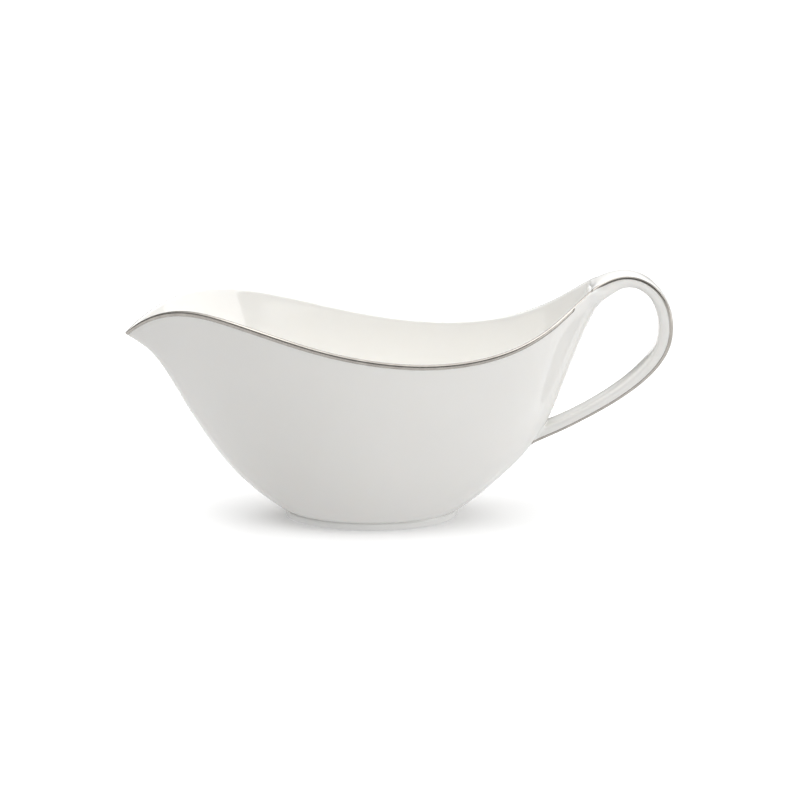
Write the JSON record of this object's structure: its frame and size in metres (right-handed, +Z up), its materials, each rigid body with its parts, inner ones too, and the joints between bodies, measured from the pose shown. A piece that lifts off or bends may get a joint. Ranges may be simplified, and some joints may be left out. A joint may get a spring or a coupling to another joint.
{
  "type": "sauce boat",
  "caption": "Glazed porcelain sauce boat with a pointed pouring spout, an oval foot and a looped strap handle, lined in platinum along the rim and handle edges.",
  "frame": {"origin": "centre of the foot, on the plane that the boat stands on", "axes": "+Z up, +X towards the handle, so the spout points to -X; the two sides mirror across Y = 0"},
  "size_m": [0.2403, 0.0912, 0.1166],
  "materials": {
    "porcelain": "clear gloss glaze on white bone china",
    "foot_porcelain": "glazed sides and a bare, polished bearing edge",
    "platinum": "fired platinum lustre line"
  },
  "bodies": {
    "root": {"bowl": "porcelain", "handle": "porcelain", "foot_ring": "foot_porcelain", "rim_band": "platinum", "handle_band_left": "platinum", "handle_band_right": "platinum"}
  },
  "joints": []
}
